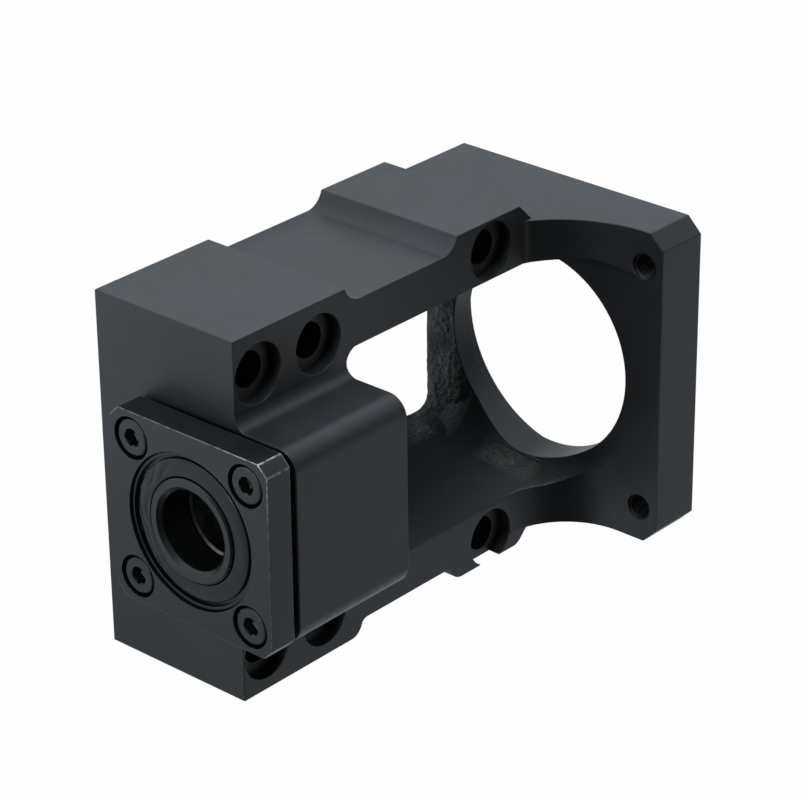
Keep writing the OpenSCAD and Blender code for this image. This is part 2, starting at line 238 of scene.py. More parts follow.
def finished_black(s, name, colour, wear, rough, turned=False):
    """Black finish of a machined part, worn to bare metal along its edges, most at the top
    corner on the +Y side. Turned parts carry fine rings round the axis."""
    material, t = new_material(name)
    place = t.place()
    cloud = t.noise(place, 0.09, 3.0, 0.6)
    grain = t.noise(place, 7.0, 2.0, 0.6)
    edge = t.attribute("edge")
    shade = cloud.ramp(0.3, 0.7, 0.88, 1.12) * grain.ramp(0.3, 0.7, 0.95, 1.05)
    chips = t.noise(place, 1.1, 4.0, 0.7).ramp(0.3, 0.56)
    _, side, height = t.parts(place)
    chips = chips * side.ramp(4.0, 20.5, 0.3, 1.0) * height.ramp(4.0, 17.0, 0.4, 1.0)
    worn = (edge * chips * (wear * 1.8)).smaller(1.0)
    tone = t.mix(worn, t.shaded(rgba(colour), shade), rgba(s.worn_colour))
    if turned:
        normal = bump(t, t.noise(t.rings(place, 9.0, 9.0), 1.0, 2.0, 0.6), 0.012, 0.5)
    else:
        normal = bump(t, grain, 0.01, 0.3)
    normal = bump(t, t.noise(place, 0.2, 1.0), 0.04, 0.2, normal)
    surface(t, tone, rough + cloud * 0.1, worn * 0.9, normal, Specular_IOR_Level=0.75)
    return material


def steel_material(s):
    """Ground bearing steel with fine rings round the axis."""
    material, t = new_material("ground steel")
    place = t.place()
    lines = t.noise(t.rings(place, 12.0, 12.0), 1.0, 3.0, 0.6)
    stain = t.noise(place, 0.17, 2.0, 0.55)
    colour = t.mix(stain.ramp(0.4, 0.6), rgba(s.steel_colour, 0.35), rgba(s.steel_colour))
    surface(t, colour, 0.2 + lines * 0.14, 1.0, bump(t, lines, 0.004, 0.3))
    return material


def rubber_material(s):
    """Oiled black rubber of the shaft seals with faint moulding rings."""
    material, t = new_material("seal rubber")
    place = t.place()
    lines = t.noise(t.rings(place, 3.0), 1.0, 1.0)
    dust = t.noise(place, 1.2, 4.0, 0.7)
    colour = t.mix(dust.ramp(0.45, 0.75), rgba(s.rubber_colour), rgba(s.rubber_colour, 2.0))
    surface(t, colour, 0.2 + dust * 0.16, 0.0, bump(t, lines, 0.012, 0.3),
            Specular_IOR_Level=0.55)
    return material


def resin_material(s):
    """Moulded resin of the ball cages."""
    material, t = new_material("cage resin")
    place = t.place()
    cloud, grain = t.noise(place, 0.3, 3.0), t.noise(place, 6.0, 2.0)
    colour = t.mix(cloud.ramp(0.3, 0.7), rgba(s.resin_colour), rgba(s.resin_colour, 0.75))
    surface(t, colour, 0.4 + grain * 0.2, 0.0, bump(t, grain, 0.02, 0.3))
    return material


def paint(node, material):
    """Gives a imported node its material."""
    for slot in frame["nodes"][node].material_slots:
        slot.material = material


# ---------------------------------------------------------------- meshes

FLAT_ANGLE = math.radians(0.3)
SHARP_ANGLE = math.radians(25.0)
SCREW_SMOOTH = math.radians(38.0)
LEAST_SCREW_FACES = 4000


def merged_copy(node):
    """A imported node's mesh as one closed shell with its flat faces whole. Points on the same
    spot of a fine grid become one; the grid is shifted, so that round sizes don't fall
    between two spots. A pair of triangles on the same three points cancels out."""
    grid, shift = 0.001 * MM, 0.37
    source = frame["nodes"][node].data
    points, corners, triangles = {}, [], {}
    for vert in source.vertices:
        key = tuple(round(c / grid + shift) for c in vert.co)
        corners.append(points.setdefault(key, (len(points), vert.co.copy()))[0])
    for face in source.polygons:
        ring = tuple(corners[i] for i in face.vertices)
        key = frozenset(ring)
        if len(key) == 3 and triangles.pop(key, None) is None:
            triangles[key] = ring
    bm = bmesh.new()
    verts = [bm.verts.new(place) for _, place in points.values()]
    for ring in triangles.values():
        bm.faces.new([verts[i] for i in ring])
    bm.normal_update()
    if any(not e.is_manifold for e in bm.edges):
        raise RuntimeError("the mesh of %s is not closed" % node)
    bmesh.ops.dissolve_limit(bm, angle_limit=FLAT_ANGLE,
                             verts=bm.verts[:], edges=bm.edges[:])
    return bm


def break_edges(bm, width, chosen, wear=1.0):
    """Rounds the chosen outer edges by width; the crest of the rounding gets the wear in the
    edge layer."""
    layer = bm.verts.layers.float.get("edge") or bm.verts.layers.float.new("edge")
    bm.normal_update()
    sharp = [e for e in bm.edges if e.is_manifold and e.is_convex
             and e.calc_face_angle() > SHARP_ANGLE and chosen(e)]
    made = bmesh.ops.bevel(bm, geom=sharp, offset=width, offset_type="OFFSET",
                           segments=2, profile=0.5, affect="EDGES",
                           clamp_overlap=False, material=-1, loop_slide=True)
    fresh = set(made["faces"])
    for vert in made["verts"]:
        if all(face in fresh for face in vert.link_faces):
            vert[layer] = wear


def finish_mesh(bm, name, material, smooth=40.0):
    """Turns a mesh under construction into a piece of the bracket with weighted normals;
    edges above the smooth angle stay sharp."""
    mesh = bpy.data.meshes.new(name)
    bm.to_mesh(mesh)
    bm.free()
    mesh.shade_smooth()
    mesh.set_sharp_from_angle(angle=math.radians(smooth))
    mesh.materials.clear()
    mesh.materials.append(material)
    raw = bpy.data.objects.new(name + "_raw", mesh)
    bpy.context.scene.collection.objects.link(raw)
    modifier = raw.modifiers.new("normals", "WEIGHTED_NORMAL")
    modifier.keep_sharp, modifier.weight = True, 90
    piece = plain_piece(raw, name)
    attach(piece, BRACKET)
    return piece


def plain_piece(source, name):
    """A plain mesh object made from an object and its modifiers."""
    graph = bpy.context.evaluated_depsgraph_get()
    graph.update()
    mesh = bpy.data.meshes.new_from_object(source.evaluated_get(graph),
                                           preserve_all_data_layers=True, depsgraph=graph)
    bpy.data.objects.remove(source)
    mesh.name = name
    piece = bpy.data.objects.new(name, mesh)
    bpy.context.scene.collection.objects.link(piece)
    return piece


def stack_rings(rings, closed=True):
    """Skin over rings of points that all have the same count; closed caps both ends."""
    bm = bmesh.new()
    made = [[bm.verts.new(point) for point in ring] for ring in rings]
    count = len(made[0])
    for low, high in zip(made, made[1:]):
        for k in range(count):
            j = (k + 1) % count
            bm.faces.new((low[k], low[j], high[j], high[k]))
    if closed:
        bm.faces.new(made[0][::-1])
        bm.faces.new(made[-1])
    bmesh.ops.recalc_face_normals(bm, faces=bm.faces[:])
    bm.verts.layers.float.new("edge")
    return bm


def ring_body(rings):
    """Closed ring-shaped skin over rings of points, the last one joined to the first."""
    bm = stack_rings(rings + rings[:1], closed=False)
    bmesh.ops.remove_doubles(bm, verts=bm.verts[:], dist=1e-7)
    bmesh.ops.recalc_face_normals(bm, faces=bm.faces[:])
    return bm


def thread_radius(root, crest, pitch, along, angle):
    """Radius of a screw thread with flat crests and roots at a place along its axis."""
    root_share, flank_share = 0.12, 0.68
    phase = (along / pitch - angle / (2 * math.pi)) % 1.0
    flank = (abs(phase * 2.0 - 1.0) - root_share) / flank_share
    return root + (crest - root) * min(1.0, max(0.0, flank))


def smooth(low, high, value):
    """Smooth passage from 0 to 1 while the value goes from low to high."""
    t = min(1.0, max(0.0, (value - low) / (high - low)))
    return t * t * (3.0 - 2.0 * t)


def hexagon(across, angle):
    """Radius of a hexagon of a given width across flats in one direction."""
    return across / 2 / math.cos((angle + math.pi / 6) % (math.pi / 3) - math.pi / 6)


# ---------------------------------------------------------------- sizes and colours

class END_SUPPORT_sizes(bpy.types.PropertyGroup):
    """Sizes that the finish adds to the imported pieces."""
    edge_break: FloatProperty(
        name="Edge break", description="Width of the broken edges on the bracket",
        default=0.22 * MM, min=0.0, unit="LENGTH")
    cover_edge: FloatProperty(
        name="Cover edge", description="Width of the broken edges on the cover",
        default=0.28 * MM, min=0.0, unit="LENGTH")
    rim_edge: FloatProperty(
        name="Cover rims", description="Width of the broken rims of the cover's holes",
        default=0.14 * MM, min=0.0, unit="LENGTH")
    cast_step: FloatProperty(
        name="Skin step", description="Spacing of the mesh that carries the cast skin",
        default=0.75 * MM, min=0.3 * MM, unit="LENGTH")
    cast_height: FloatProperty(
        name="Skin height", description="Height of the lumps in the cast skin",
        default=0.32 * MM, min=0.0, unit="LENGTH")
    seal_fold: FloatProperty(
        name="Seal folds", description="Depth of the soft folds in the seals",
        default=0.13 * MM, min=0.0, unit="LENGTH")
    thread_pitch: FloatProperty(
        name="Motor thread pitch", description="Pitch of the motor screw threads",
        default=0.8 * MM, min=0.3 * MM, unit="LENGTH")
    thread_depth: FloatProperty(
        name="Motor thread depth", description="Depth of the motor screw threads",
        default=0.4 * MM, min=0.0, unit="LENGTH")
    screw_pitch: FloatProperty(
        name="Screw thread pitch", description="Pitch of the cover screws",
        default=0.7 * MM, min=0.3 * MM, unit="LENGTH")


def colour_property(name, description, default):
    return FloatVectorProperty(name=name, description=description, default=default,
                               subtype="COLOR", size=3, min=0.0, max=1.0)


class END_SUPPORT_colours(bpy.types.PropertyGroup):
    """Colours of the finishes, in linear light."""
    casting_colour: colour_property("Casting", "Black finish of the bracket",
                                    (0.030, 0.034, 0.038))
    casting_tint: colour_property("Casting tint", "Cloudy parts of the bracket's finish",
                                  (0.034, 0.037, 0.045))
    cast_skin_colour: colour_property("Cast skin", "Rough skin between the rails",
                                      (0.190, 0.206, 0.200))
    cover_colour: colour_property("Cover", "Black finish of the cover",
                                  (0.017, 0.020, 0.025))
    screw_colour: colour_property("Screws", "Black finish of the cover screws",
                                  (0.020, 0.022, 0.023))
    collar_colour: colour_property("Collars", "Black finish of the collars",
                                   (0.030, 0.034, 0.033))
    worn_colour: colour_property("Worn edges", "Where the finish has worn through",
                                 (0.56, 0.57, 0.57))
    steel_colour: colour_property("Steel", "Ground steel of the bearings",
                                  (0.34, 0.34, 0.33))
    rubber_colour: colour_property("Rubber", "Rubber of the shaft seals",
                                   (0.012, 0.013, 0.014))
    resin_colour: colour_property("Resin", "Resin of the ball cages",
                                  (0.62, 0.46, 0.22))
    floor_colour: colour_property("Floor", "Floor under the bracket", (0.9, 0.9, 0.9))
    casting_wear: FloatProperty(
        name="Bracket wear", description="How much of the bracket's edges is worn",
        default=0.035, min=0.0, max=1.0, subtype="FACTOR")
    cover_wear: FloatProperty(
        name="Cover wear", description="How much of the cover's edges is worn",
        default=1.0, min=0.0, max=1.0, subtype="FACTOR")
    screw_wear: FloatProperty(
        name="Screw wear", description="How much of the screws' edges is worn",
        default=0.2, min=0.0, max=1.0, subtype="FACTOR")


# ---------------------------------------------------------------- bracket

FLANGE_INNER = HOUSING_HIGH.x - 11.4 * MM
BLOCK_REAR = HOUSING_LOW.x + 28.0 * MM
RAIL_TOP = 33.0 * MM
RAIL_INNER = 23.25 * MM
SPACE_HALF_WIDTH = 24.6 * MM
OPENING_REACH = 21.2 * MM
REAR_HOLE, REAR_HOLE_REACH = (53.4 * MM, 29.0 * MM), 5.9 * MM
TAP_RADIUS, TAP_PLAY, TAP_DEPTH = 2.1 * MM, 0.05 * MM, 12.5 * MM
TAP_LIMIT = FLANGE_INNER - 4 * MM
TAPPED_HOLES = [(y * 24.75 * MM, AXIS_HEIGHT + z * 24.75 * MM)
                for y in (-1, 1) for z in (-1, 1)]

# Where the coupling space is cut into a grid: axis, start and end.
ROUGH_SPAN = ((0, FLANGE_INNER - 16 * MM, FLANGE_INNER),
              (1, -25 * MM, 25 * MM), (2, 0.5 * MM, 40 * MM))
# Rough zones of the cast skin in millimetres. Each comes in along X, away from the middle and
# up, and ends further up: under the motor opening, at the rails' feet, beside the opening.
ROUGH_ZONES = (((66.0, 72.5), None, None, (6.5, 11.0)),
               ((53.0, 61.0), (17.0, 20.0), None, (6.0, 10.0)),
               ((63.5, 67.0), (17.0, 19.0), (17.0, 21.0), (30.0, 32.8)))
# Noise in the skin: how closely it is clouded, and its lumps as height and closeness.
SKIN_CLOUD = 0.16
SKIN_LUMPS = ((0.55, 0.42), (0.45, 0.95), (0.25, 1.9))


def cast_share(point):
    """How rough the cast skin is at a point between the rails, from 0 to 1."""
    x, y, z = (c / MM for c in point)
    shares = []
    for ahead, side, up, end in ROUGH_ZONES:
        share = 1.0 - smooth(*end, z)
        for span, value in ((ahead, x), (side, abs(y)), (up, z)):
            if span:
                share *= smooth(*span, value)
        shares.append(share)
    cloud = 0.5 + 0.5 * noise.noise(Vector(point) / MM * SKIN_CLOUD)
    return min(1.0, max(shares) * (0.45 + smooth(0.3, 0.6, cloud)))


def lump(point):
    """Height of the cast skin at a point, about -1 to 1."""
    at = Vector(point) / MM
    return sum(height * noise.noise(at * scale) for height, scale in SKIN_LUMPS)


def is_between_rails(face):
    """True for a face of the coupling space that looks sideways or back at the block, apart
    from the wall of the motor opening."""
    c, n = face.calc_center_median(), face.normal
    inside = (BLOCK_REAR + 0.05 * MM < c.x < FLANGE_INNER + 0.3 * MM
              and abs(c.y) < SPACE_HALF_WIDTH and 0.02 * MM < c.z < RAIL_TOP - 0.1 * MM)
    opening = n.x > -0.9 and math.hypot(c.y, c.z - AXIS_HEIGHT) < OPENING_REACH
    return inside and not opening and (n.x < -0.02 or abs(n.y) > 0.5)


class END_SUPPORT_OT_housing(bpy.types.Operator):
    """Gives the bracket its broken edges, rough cast skin and black finish"""
    bl_idname = "end_support.housing"
    bl_label = "Bracket"

    def execute(self, context):
        s, c = context.scene.end_support_sizes, context.scene.end_support_colours
        bm = merged_copy("housing")
        self.widen_tapped_holes(bm, s)
        break_edges(bm, s.edge_break, lambda edge: not self.is_tight(edge))
        break_edges(bm, s.edge_break * 0.3, self.is_tight)
        self.roughen(bm, s)
        piece = finish_mesh(bm, "bracket_casting", casting_material(c))
        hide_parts("housing")
        return {"FINISHED"}

    def is_tight(self, edge):
        """True for the rim of a rear screw hole and the rail's edge, which nearly meet."""
        for x, y, z in (vert.co for vert in edge.verts):
            beside = abs(y - RAIL_INNER) < 0.05 * MM
            rim = math.hypot(x - REAR_HOLE[0], y - REAR_HOLE[1]) < REAR_HOLE_REACH
            if abs(z - RAIL_TOP) > 0.02 * MM or not (beside or rim):
                return False
        return True

    def widen_tapped_holes(self, bm, s):
        """Makes room in the motor screw holes for the threads."""
        for vert in bm.verts:
            if vert.co.x < TAP_LIMIT:
                continue
            for y, z in TAPPED_HOLES:
                away = Vector((0, vert.co.y - y, vert.co.z - z))
                if abs(away.length - TAP_RADIUS) < TAP_PLAY:
                    vert.co += away.normalized() * (s.thread_depth + TAP_PLAY)

    def roughen(self, bm, s):
        """Cuts the faces between the rails into a fine grid and lifts the rough ones into
        lumps, none of them below the base."""
        cast = bm.verts.layers.float.new("cast")
        inner = bm.verts.layers.float.new("inner")
        faces = [f for f in bm.faces if is_between_rails(f)]
        made = bmesh.ops.triangulate(bm, faces=faces, quad_method="BEAUTY",
                                     ngon_method="EAR_CLIP")
        faces = made["faces"]
        for axis, start, end in ROUGH_SPAN:
            direction = Vector((0, 0, 0))
            direction[axis] = 1.0
            for k in range(int((end - start) / s.cast_step) + 1):
                near = start + k * s.cast_step
                cut = [f for f in faces if min(v.co[axis] for v in f.verts) < near - 1e-6
                       and max(v.co[axis] for v in f.verts) > near + 1e-6]
                if not cut:
                    continue
                geometry = dict.fromkeys(cut)
                for face in cut:
                    geometry.update(dict.fromkeys([*face.edges, *face.verts]))
                known = set(bm.faces)
                bmesh.ops.bisect_plane(bm, geom=list(geometry), dist=1e-7,
                                       plane_co=direction * near, plane_no=direction)
                faces = [f for f in faces if f.is_valid]
                faces += [f for f in bm.faces if f not in known]
        members = set(faces)
        bm.normal_update()
        moved = {}
        for face in faces:
            for vert in face.verts:
                if any(f not in members for f in vert.link_faces):
                    continue
                share = cast_share(vert.co)
                # Every face between the rails gets the mask that paints shade on it in the
                # material.
                vert[cast], vert[inner] = share, 1.0
                if share > 0.01:
                    moved[vert] = vert.co + vert.normal * (lump(vert.co) * share
                                                           * s.cast_height)
        for vert, place in moved.items():
            place.z = max(place.z, HOUSING_LOW.z)
            vert.co = place
        bmesh.ops.dissolve_degenerate(bm, dist=0.005 * MM, edges=bm.edges[:])


# ---------------------------------------------------------------- cover, threads and screws

class END_SUPPORT_OT_cover(bpy.types.Operator):
    """Gives the bearing cover its broken, worn edges and black finish"""
    bl_idname = "end_support.cover"
    bl_label = "Cover"

    def execute(self, context):
        s, c = context.scene.end_support_sizes, context.scene.end_support_colours
        half, corner = (COVER_HIGH.y - COVER_LOW.y) / 2, 2.7 * MM

        def outer(edge):
            """True for an edge of the outline, on a side or on a bevelled corner."""
            return all(max(abs(v.co.y), abs(v.co.z - AXIS_HEIGHT)) > half - 0.5 * MM
                       or abs(v.co.y) + abs(v.co.z - AXIS_HEIGHT) > 2 * half - corner
                       for v in edge.verts)

        bm = merged_copy("cover")
        break_edges(bm, s.cover_edge, outer)
        break_edges(bm, s.rim_edge, lambda edge: not outer(edge), wear=0.25)
        material = finished_black(c, "cover black", c.cover_colour, c.cover_wear, rough=0.31)
        piece = finish_mesh(bm, "bearing_cover", material)
        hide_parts("cover")
        return {"FINISHED"}


class END_SUPPORT_OT_threads(bpy.types.Operator):
    """Cuts the threads of the four motor screw holes"""
    bl_idname = "end_support.threads"
    bl_label = "Motor screw threads"

    def execute(self, context):
        s, c = context.scene.end_support_sizes, context.scene.end_support_colours
        material = finished_black(c, "thread black", c.screw_colour, wear=0.0, rough=0.5)
        for number, (y, z) in enumerate(TAPPED_HOLES, 1):
            through = z > AXIS_HEIGHT
            front = FLANGE_INNER if through else HOUSING_HIGH.x - TAP_DEPTH
            bm = self.sleeve(s, front, HOUSING_HIGH.x, y, z, through)
            finish_mesh(bm, "motor_thread_%d" % number, material, smooth=50.0)
        return {"FINISHED"}

    def sleeve(self, s, front, rear, y, z, through):
        """Thread of one hole between two places along the screw: a thin sleeve whose inner
        side carries the groove. It fades out towards an open mouth."""
        count, steps = 40, int((rear - front) / s.thread_pitch * 7)
        mouth, inset = 0.55 * MM, 0.01 * MM
        outer = TAP_RADIUS + s.thread_depth + TAP_PLAY
        rings = [(front + inset, lambda a: outer), (rear - inset, lambda a: outer)]

        def inside(x):
            near = min(rear - x, x - front if through else 1.0)
            fade = max(0.0, 1.0 - near / mouth)

            def radius(angle):
                cut = thread_radius(TAP_RADIUS, TAP_RADIUS + s.thread_depth,
                                    s.thread_pitch, x, angle)
                return max(cut, TAP_RADIUS + fade * s.thread_depth)
            return radius

        span = rear - front - 2 * inset
        for k in range(steps, -1, -1):
            x = front + inset + span * k / steps
            rings.append((x, inside(x)))
        turn = [2 * math.pi * k / count for k in range(count)]
        return ring_body([[(x, y + radius(a) * math.cos(a), z + radius(a) * math.sin(a))
                           for a in turn] for x, radius in rings])


class END_SUPPORT_OT_screws(bpy.types.Operator):
    """Sets a detailed socket-head screw into each corner of the cover"""
    bl_idname = "end_support.screws"
    bl_label = "Cover screws"

    def execute(self, context):
        s, c = context.scene.end_support_sizes, context.scene.end_support_colours
        nodes = ["cover_screw_%d" % k for k in range(1, 5)]
        boxes = [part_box(node) for node in nodes]
        low, high = boxes[0]
        bm = self.screw(s, high.x - low.x, (high.y - low.y) / 2)
        shape = bpy.data.meshes.new("screw_shape")
        bm.to_mesh(shape)
        bm.free()
        shape.shade_smooth()
        shape.set_sharp_from_angle(angle=SCREW_SMOOTH)
        source = bpy.data.objects.new("screw_shape", shape)
        middles = [(a + b) / 2 for a, b in boxes]
        spacing = max(m.y for m in middles) - min(m.y for m in middles)
        material = finished_black(c, "screw black", c.screw_colour, c.screw_wear, rough=0.3)
        holder = bpy.data.objects.new("four_screws", bpy.data.meshes.new("four_screws"))
        bpy.context.scene.collection.objects.link(source)
        bpy.context.scene.collection.objects.link(holder)
        modifier = holder.modifiers.new("screws", "NODES")
        modifier.node_group = self.group()
        values = {"Screw": source, "Spacing": spacing, "Material": material, "Seed": 4,
                  "Middle": Vector((low.x, 0, AXIS_HEIGHT))}
        for item in modifier.node_group.interface.items_tree:
            if item.item_type == "SOCKET" and item.in_out == "INPUT" and item.name in values:
                modifier[item.identifier] = values[item.name]
        piece = plain_piece(holder, "cover_screws")
        bpy.data.objects.remove(source)
        if len(piece.data.polygons) < LEAST_SCREW_FACES:
            raise RuntimeError("the four screws were not made")
        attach(piece, BRACKET)
        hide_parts(*nodes)
        return {"FINISHED"}

    def group(self):
        """Geometry Nodes: one screw on each corner of a square, each turned differently."""
        group = bpy.data.node_groups.new("screws on a square", "GeometryNodeTree")
        add = group.interface.new_socket
        add("Geometry", in_out="OUTPUT", socket_type="NodeSocketGeometry")
        add("Screw", in_out="INPUT", socket_type="NodeSocketObject")
        add("Spacing", in_out="INPUT", socket_type="NodeSocketFloat")
        add("Middle", in_out="INPUT", socket_type="NodeSocketVector")
        add("Material", in_out="INPUT", socket_type="NodeSocketMaterial")
        add("Seed", in_out="INPUT", socket_type="NodeSocketInt")
        t = Tree(group)
        given = t.node("NodeGroupInput")
        spacing = t.outputs(given, "Spacing")
        square = t.node("GeometryNodeMeshGrid", None, {"Size X": spacing, "Size Y": spacing,
                                                       "Vertices X": 2, "Vertices Y": 2})
        upright = t.node("GeometryNodeTransform", None, {
            "Geometry": square, "Translation": t.outputs(given, "Middle"),
            "Rotation": (0.0, math.pi / 2, 0.0)})
        turn = t.node("FunctionNodeRandomValue", {"data_type": "FLOAT_VECTOR"}, {
            "Min": (0.0, 0.0, 0.0), "Max": (math.pi / 3, 0.0, 0.0),
            "Seed": t.outputs(given, "Seed")})
        shape = t.node("GeometryNodeObjectInfo", None, {"Object": given}, output="Geometry")
        placed = t.node("GeometryNodeInstanceOnPoints", None, {
            "Points": upright, "Instance": shape, "Rotation": turn})
        plain = t.node("GeometryNodeRealizeInstances", None, [placed])
        black = t.node("GeometryNodeSetMaterial", None, {
            "Geometry": plain, "Material": t.outputs(given, "Material")})
        t.node("NodeGroupOutput", None, [black])
        return group

    def screw(self, s, length, head):
        """One screw along X with its head's face at the origin: rounded rim, countersunk
        hexagonal socket, straight-knurled head and threaded shank."""
        count = 72
        tall, shank, across, deep = 4.0 * MM, 2.0 * MM, 3.0 * MM, 2.0 * MM
        rings = [(deep + 0.8 * MM, lambda a: 0.02 * MM),
                 (deep, lambda a: hexagon(across, a)),
                 (0.25 * MM, lambda a: hexagon(across, a)),
                 (0.0, lambda a: max(hexagon(across, a), across / 2 * 1.17)),
                 (0.0, lambda a: across / 2 * 1.24), (0.0, lambda a: across / 2 * 1.32)]
        rim = 0.55 * MM
        rings.append((0.0, lambda a: head - rim - 0.12 * MM))
        for k in range(7):
            angle = math.pi / 2 * k / 6
            radius, x = head - rim + rim * math.sin(angle), rim * (1 - math.cos(angle))
            rings.append((x, lambda a, r=radius: r))

        def knurled(a):
            return head - 0.09 * MM * (0.5 + 0.5 * math.cos(a * 36))

        rings += [(rim + 0.05 * MM, knurled), (tall - 0.3 * MM, knurled),
                  (tall - 0.2 * MM, lambda a: head), (tall, lambda a: head - 0.15 * MM),
                  (tall, lambda a: shank * 1.08), (tall + 0.3 * MM, lambda a: shank * 0.98)]
        first, last = tall + 1.2 * MM, length - 0.6 * MM
        steps = int((last - first) / s.screw_pitch * 6)
        for k in range(steps + 1):
            x = first + (last - first) * k / steps
            fade = min(1.0, (x - first) / (0.6 * MM), (last - x) / (0.3 * MM))

            def cut(a, x=x, fade=fade):
                crest = shank * 0.985
                return crest + fade * (thread_radius(shank * 0.8, crest, s.screw_pitch,
                                                     x, -a) - crest)
            rings.append((x, cut))
        rings += [(length - 0.1 * MM, lambda a: shank * 0.75),
                  (length, lambda a: shank * 0.7)]
        points = [[(x, radius(a) * math.cos(a), radius(a) * math.sin(a))
                   for a in (2 * math.pi * k / count for k in range(count))]
                  for x, radius in rings]
        bm = stack_rings(points)
        edge, rubbed = bm.verts.layers.float.active, 0.8
        for vert in bm.verts:
            spread = math.hypot(vert.co.y, vert.co.z)
            on_rim = 0.05 * MM < vert.co.x < 0.2 * MM and spread > head - rim
            on_socket = vert.co.x < 0.01 * MM and spread < across * 0.63
            if on_rim or on_socket:
                vert[edge] = rubbed
        return bm


# ---------------------------------------------------------------- seals and bearings

class END_SUPPORT_OT_seals(bpy.types.Operator):
    """Moulds the two shaft seals with their rim, groove and softly folded dome"""
    bl_idname = "end_support.seals"
    bl_label = "Shaft seals"

    def execute(self, context):
        s, c = context.scene.end_support_sizes, context.scene.end_support_colours
        material = rubber_material(c)
        for node, collar in (("front_seal", "front_collar"), ("rear_seal", "rear_collar")):
            low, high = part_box(node)
            face, back = (low.x, high.x) if node == "front_seal" else (high.x, low.x)
            collar_low, collar_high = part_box(collar)
            bm = self.seal(s, face, back, (high.y - low.y) / 2,
                           (collar_high.y - collar_low.y) / 2 + 0.1 * MM)
            piece = finish_mesh(bm, node + "_rubber", material, smooth=50.0)
            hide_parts(node)
        return {"FINISHED"}

    def seal(self, s, face, back, rim, lip):
        """Ring between the radii lip and rim from its dome's top at face to its back; depths
        are measured from the top of the dome."""
        count = 200
        toward = 1.0 if back > face else -1.0
        groove = rim - 1.0 * MM
        profile = [(rim, abs(back - face)), (rim, 0.22 * MM), (rim - 0.08 * MM, 0.12 * MM),
                   (groove + 0.35 * MM, 0.1 * MM), (groove + 0.25 * MM, 0.2 * MM),
                   (groove + 0.2 * MM, 1.0 * MM), (groove - 0.3 * MM, 1.0 * MM),
                   (groove - 0.38 * MM, 0.5 * MM)]
        start, end = groove - 0.42 * MM, lip + 0.3 * MM
        for k in range(17):
            share = k / 16
            arch = abs(share * 1.55 - 1.0) ** 2.2 if share < 0.645 else 0.0
            profile.append((start + (end - start) * share, (0.02 + 0.38 * arch) * MM))
        profile += [(lip + 0.12 * MM, 0.1 * MM), (lip, 0.35 * MM), (lip, 2.4 * MM),
                    (lip + 1.1 * MM, 3.4 * MM), (lip + 1.1 * MM, abs(back - face))]
        rings = []
        for radius, depth in profile:
            ring = []
            inside = end - 0.1 * MM < radius < start + 0.1 * MM and depth < 0.6 * MM
            for k in range(count):
                angle = 2 * math.pi * k / count
                y, z = radius * math.cos(angle), radius * math.sin(angle)
                sunk = self.fold(s, y, z, radius - end, start - end) if inside else 0.0
                ring.append((face + toward * (depth + sunk), y, AXIS_HEIGHT + z))
            rings.append(ring)
        return ring_body(rings)

    def fold(self, s, y, z, place, width):
        """Depth of the soft folds at a point of the dome, deepest on one side of the ring."""
        at = Vector((y, z, 0)) / MM
        share = place / width
        edge = smooth(0.0, 0.2, share) * (1.0 - smooth(0.85, 1.0, share))
        side = smooth(-0.4, 0.5, -z / math.hypot(y, z))
        wander = noise.noise(at * 0.13) * 1.6 + noise.noise(at * 0.3) * 0.25
        crease = (0.5 + 0.5 * math.cos(math.pi * 2 * (share * 1.3 + wander))) ** 3
        return s.seal_fold * edge * side * crease


class END_SUPPORT_OT_bearings(bpy.types.Operator):
    """Gives bearings and collars their finishes"""
    bl_idname = "end_support.bearings"
    bl_label = "Bearings and collars"

    def execute(self, context):
        c = context.scene.end_support_colours
        steel, resin = steel_material(c), resin_material(c)
        collar = finished_black(c, "collar black", c.collar_colour, wear=0.0, rough=0.3,
                                turned=True)
        for k in (1, 2):
            for node in ("outer_ring_", "inner_ring_", "balls_"):
                paint(node + str(k), steel)
            paint("cage_" + str(k), resin)
        for node in ("front_collar", "rear_collar"):
            paint(node, collar)
        return {"FINISHED"}


# ---------------------------------------------------------------- stage

# Lamps: place and size in millimetres, power in watts. All are aimed at the same point.
LAMPS = {"lamp_left": ((0, 900, 170), 300, 1.8), "lamp_front": ((-800, 190, 90), 120, 0.6),
         "lamp_top": ((350, -250, 900), 700, 0.5)}
LAMP_AIM = (35, 0, 28)
# Levels of the surroundings: for diffuse light, for reflections near the horizon and overhead,
# and for the floor as it is seen.
WORLD_LEVEL = 0.03
WORLD_GLOSS, GLOSS_HEIGHT, GLOSS_AHEAD = (0.68, 0.0), (0.42, 0.74), (-0.2, 0.4, 0.08, 1.0)
FLOOR_SEEN = 0.99
GLOW_TINT = (0.84, 0.93, 1.0)
# Ramps of the floor's glow, each with its start and end and, where they aren't 0 and 1, its
# levels: toward +Y; out from under the bracket; under it toward the flange; out behind the
# flange; across the dark spot there; across the strong one; across the weak one in front.
GLOW_ASIDE = (-60 * MM, 50 * MM, 0.5, 1.0)
GLOW_AWAY = (-12 * MM, 3 * MM)
GLOW_UNDER = (64 * MM, 72 * MM, 0.06, 0.9)
GLOW_BEHIND = (0.0, 8 * MM)
GLOW_DARK = ((2 * MM, 8 * MM), (28 * MM, 38 * MM, 0.85, 0.0))
GLOW_STRONG = (-12 * MM, 2 * MM, 0.9, 0.0)
GLOW_BEFORE = ((-72 * MM, -55 * MM), (-20 * MM, -5 * MM, 0.16, 0.0))
FLOOR_HALF = 6.0
FLOOR_GAP = 0.02 * MM
CAMERA_PLACE = (-364.196, 271.647, 383.836)
CAMERA_AXES = ((0.66236997, -0.00986229, 0.74911198),
               (-0.34092301, -0.89434981, 0.28967208),
               (0.66711133, -0.44725959, -0.59575274))
CAMERA_LENS, CAMERA_SENSOR = 148.08329, 36.0
WHITE = (1.0, 1.0, 1.0, 1.0)


